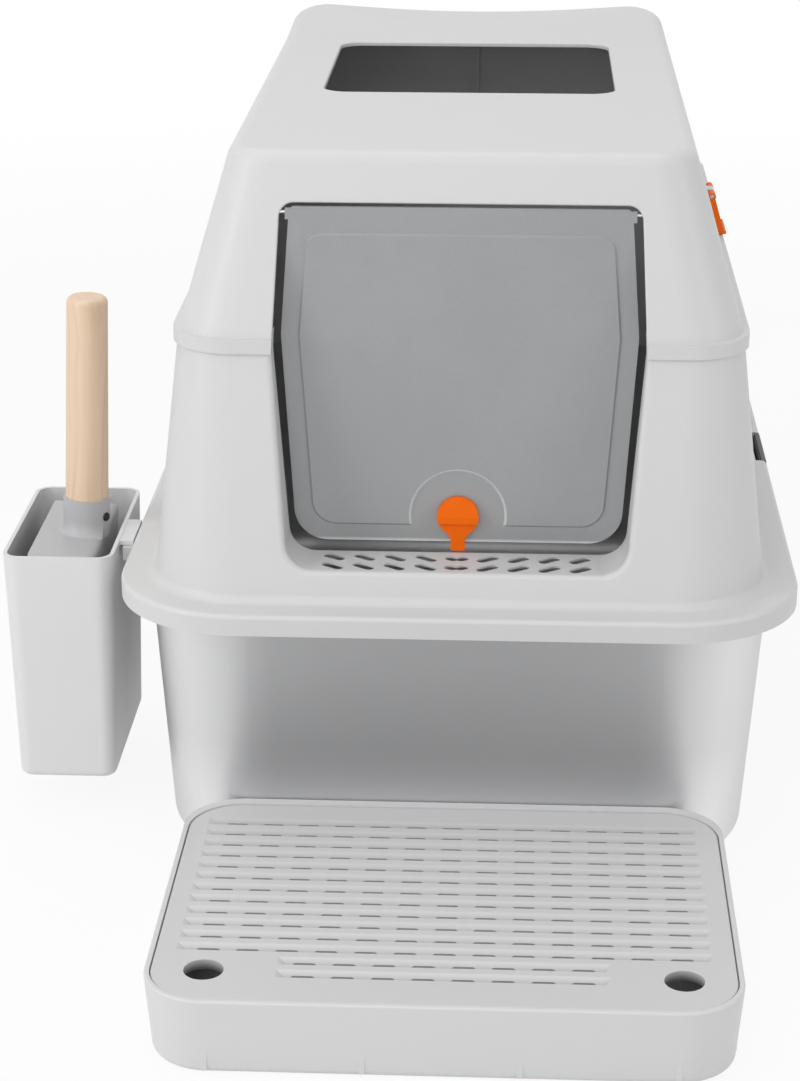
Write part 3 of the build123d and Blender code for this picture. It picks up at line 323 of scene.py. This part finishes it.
def handle_wood(name):
    """Pale turned wood, cut from a plank: wide year rings about a far pith, whose lines wander and meet in
    long arches on the face, short pores along the grain and a thin oil coat."""
    f = Finish(name)
    along = f.centred(HANDLE_AXIS, HANDLE_LEAN)
    x, y, z = f.axes(along)
    wander = f.noise(f.stretched(along, (14, 14, 6)), 1.0, 2.0)
    ripple = f.noise(f.stretched(along, (90, 90, 14)), 1.0, 2.0)
    pores = f.noise(f.stretched(along, (1500, 1500, 70)), 1.0, 3.0, 0.6)
    streaks = f.noise(f.stretched(along, (170, 170, 5)), 1.0, 3.0, 0.55)
    from_pith = ((x - PITH_X + z * GRAIN_SLOPE) ** 2 + (y - PITH_Y) ** 2) ** 0.5
    rings = (from_pith + (wander - 0.5) * 0.016 + (ripple - 0.5) * 0.0012) * RINGS_PER_M
    year = rings.fraction()
    late = year * year * (1.0 - year ** 12.0)
    depth = (late * 0.42 + (pores - 0.5) * 0.30 + (streaks - 0.5) * 0.65 + 0.24).clipped()
    colour = f.node("ShaderNodeValToRGB", {"stops": WOOD_STOPS}, {"Fac": depth})
    rough = (0.48 + (pores - 0.5) * 0.2).clipped(0.2, 0.9)
    normal = f.bump(pores * 0.6 + late * 0.4, GRAIN_DEPTH)
    return f.done(Base_Color=colour, Roughness=rough, Normal=normal, Coat_Weight=0.2, Coat_Roughness=0.35)


# Grate: how far below its top the painted shade in its grooves starts, and how much lower it is full
SHADE_START = 0.0003
SHADE_DEPTH = 0.0048


def tray_grate_plastic(name):
    """The grate's plastic, with a painted shade that darkens from just below its top down into its grooves.
    """
    top = corners("tray_grate")[1].z
    # Painted shade for the grooves and slots, starting just below the grate's top.
    groove_shade = (top - SHADE_START, SHADE_DEPTH, srgb(112, 112, 113))
    return moulded_plastic(name, srgb(211, 211, 212), 0.40, COARSE_SKIN, groove_shade=groove_shade)


finishes = {
    "steel": brushed_pan_steel("brushed_pan_steel"),
    "shell_plastic": moulded_plastic("shell_plastic_grey", srgb(214, 214, 214), 0.42),
    "flap_plastic": frosted_flap("frosted_flap_grey"),
    "orange_plastic": moulded_plastic("orange_plastic", srgb(246, 108, 0), 0.42, tint=0.05, specular=0.15),
    "clip_plastic": moulded_plastic("dark_clip_plastic", srgb(62, 62, 64), 0.45, tint=0.08),
    "holder_plastic": moulded_plastic("holder_plastic_grey", srgb(225, 225, 226), 0.42, COARSE_SKIN),
    "scoop_plastic": moulded_plastic("scoop_plastic_grey", srgb(188, 188, 190), 0.40, COARSE_SKIN),
    "handle_wood": handle_wood("pale_turned_wood"),
    "pin_steel": turned_steel("pin_steel_bright", srgb(190, 190, 192), 0.30),
    "screw_steel": turned_steel("screw_steel_black", srgb(62, 60, 58), 0.42),
    "tray_plastic": moulded_plastic("tray_plastic_grey", srgb(217, 217, 218), 0.40, COARSE_SKIN),
}
own_finishes = {"tray_grate": tray_grate_plastic("tray_grate_grey")}
node_slots = {item["node"]: item["material_slot"] for item in frame["record"]["subparts"]}

for node_name, piece in frame["nodes"].items():
    piece.data.materials.clear()
    piece.data.materials.append(own_finishes.get(node_name) or finishes[node_slots[node_name]])


# ---------------------------------------------------------------- studio

FLOOR_HALF = 6.0
FLOOR_DROP = 0.0004         # below the object, so that the two never lie in one plane
SHADOW_REACH = 1.1
SHADOW_SHARE = 0.10         # how much of the shadow near the object is let through
FILL_LEVEL = 0.42
WHITE = (1, 1, 1, 1)


def studio_floor():
    """A white floor that keeps a soft shadow near the object and fades into the surround."""
    mesh = bpy.data.meshes.new("floor")
    h = FLOOR_HALF
    z = -FLOOR_DROP
    mesh.from_pydata([(-h, -h, z), (h, -h, z), (h, h, z), (-h, h, z)], [], [(0, 1, 2, 3)])
    floor = bpy.data.objects.new("floor", mesh)
    bpy.context.scene.collection.objects.link(floor)
    f = Finish("studio_floor_white")
    matt = f.node("ShaderNodeBsdfDiffuse", None, {"Color": (0.86, 0.86, 0.86, 1)})
    glow = f.node("ShaderNodeEmission", None, {"Color": WHITE, "Strength": 1.0})
    x, y, _ = f.axes(f.place)
    far = (((x * x + y * y) ** 0.5 - SHADOW_REACH) / SHADOW_REACH).clipped()
    whiteness = (1.0 - SHADOW_SHARE) + far * SHADOW_SHARE
    surface = f.node("ShaderNodeMixShader", None, {0: f.in_view() * whiteness, 1: matt, 2: glow})
    f.node("ShaderNodeOutputMaterial", None, {"Surface": surface})
    mesh.materials.append(f.material)


def studio_surround():
    """A surround that is white to look at and lights the object gently."""
    world = bpy.data.worlds.new("white_studio")
    bpy.context.scene.world = world
    world.use_nodes = True
    w = Board(world.node_tree)
    level = w.in_view() * (1.0 - FILL_LEVEL) + FILL_LEVEL
    back = w.node("ShaderNodeBackground", None, {"Color": WHITE, "Strength": level})
    w.node("ShaderNodeOutputWorld", None, {"Surface": back})


def softbox(name, place, aim, width, height, watts):
    """A rectangular lamp at place that points at aim."""
    lamp = bpy.data.lights.new(name, "AREA")
    lamp.shape = "RECTANGLE"
    lamp.size = width
    lamp.size_y = height
    lamp.energy = watts
    stand = bpy.data.objects.new(name, lamp)
    bpy.context.scene.collection.objects.link(stand)
    stand.location = place
    stand.rotation_euler = (Vector(aim) - Vector(place)).to_track_quat("-Z", "Y").to_euler()


studio_floor()
studio_surround()
softbox("key_overhead", (-0.3, 0.2, 2.6), aim=(0, 0, 0.3), width=2.0, height=1.8, watts=17)
softbox("key_front", (-0.5, -2.0, 2.1), aim=(0, -0.3, 0.1), width=1.8, height=1.2, watts=6)
softbox("tray_fill", (-0.2, -1.7, 1.3), aim=(0, -0.33, 0.05), width=0.9, height=0.4, watts=2)
softbox("front_fill", (-0.5, -3.0, 0.95), aim=(0, 0, 0.42), width=1.8, height=0.8, watts=7)
softbox("strip_left", (-1.9, -1.3, 1.1), aim=(0, -0.1, 0.25), width=0.6, height=1.8, watts=15)
softbox("strip_right", (2.1, -1.1, 1.1), aim=(0, 0, 0.25), width=0.6, height=1.8, watts=9)


# ---------------------------------------------------------------- camera

LENS_MM = 86.5
SENSOR_MM = 36.0
CAMERA_PLACE = (0.0374, -1.7831, 0.7839)
CAMERA_DIP = 20.49          # degrees below the horizon
CAMERA_TURN = 2.76          # degrees to the left of straight ahead

camera_data = bpy.data.cameras.new("photo_camera")
camera_data.lens = LENS_MM
camera_data.sensor_width = SENSOR_MM
camera = bpy.data.objects.new("photo_camera", camera_data)
bpy.context.scene.collection.objects.link(camera)
camera.location = CAMERA_PLACE
camera.rotation_euler = (math.radians(90 - CAMERA_DIP), 0.0, math.radians(CAMERA_TURN))
bpy.context.scene.camera = camera
bpy.context.scene.view_settings.view_transform = "Standard"
